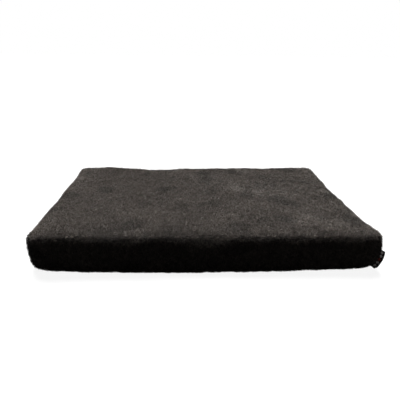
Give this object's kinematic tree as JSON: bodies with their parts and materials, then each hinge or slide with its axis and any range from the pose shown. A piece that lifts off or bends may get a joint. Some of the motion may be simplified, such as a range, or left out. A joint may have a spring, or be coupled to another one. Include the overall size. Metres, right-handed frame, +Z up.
{
  "type": "pet cushion bed",
  "caption": "Box-shaped pet cushion with a plush cover that unzips along the back edge, layered foam in a liner, and a folded label in a corner seam.",
  "frame": {"origin": "centre of the cushion's base, on the floor", "axes": "+Z up, +X along the long side to the right, +Y towards the zipped back edge"},
  "size_m": [1.0053, 0.7053, 0.12],
  "materials": {
    "plush": "short brushed plush pile, dark grey-brown",
    "base_fabric": "dense black weave with small grip dots",
    "zip_tape": "black herringbone tape",
    "zip_coil": "black nylon coil",
    "zip_metal": "dark plated zinc",
    "liner_fabric": "thin coated polyester, off-white",
    "soft_foam": "open-cell foam, pale yellow",
    "firm_foam": "open-cell foam, pale blue-grey",
    "label_satin": "black woven satin with a plain diamond motif",
    "care_cloth": "blank white satin"
  },
  "bodies": {
    "cushion": {"top_panel": "plush", "front_panel": "plush", "left_panel": "plush", "right_panel": "plush", "back_upper_panel": "plush", "back_lower_panel": "plush", "base_panel": "base_fabric", "zip_end_tab_left": "plush", "zip_end_tab_right": "plush", "zip_tape_upper": "zip_tape", "zip_tape_lower": "zip_tape", "zip_coil_upper": "zip_coil", "zip_coil_lower": "zip_coil", "zip_top_stops": "zip_metal", "zip_bottom_stop": "zip_metal", "inner_liner": "liner_fabric", "comfort_foam": "soft_foam", "support_foam": "firm_foam", "woven_label": "label_satin", "care_label": "care_cloth"},
    "slider": {"zip_slider": "zip_metal"},
    "pull": {"zip_pull": "zip_metal"}
  },
  "joints": [
    {"name": "zip_travel", "type": "slide", "parent": "cushion", "child": "slider", "axis": [-1, 0, 0], "range_m": [0, 0.796]},
    {"name": "pull_swing", "type": "hinge", "parent": "slider", "child": "pull", "pos_m": [0.398, 0.3464, 0.055], "axis": [0, 0, -1], "range_deg": [0, 180]}
  ]
}
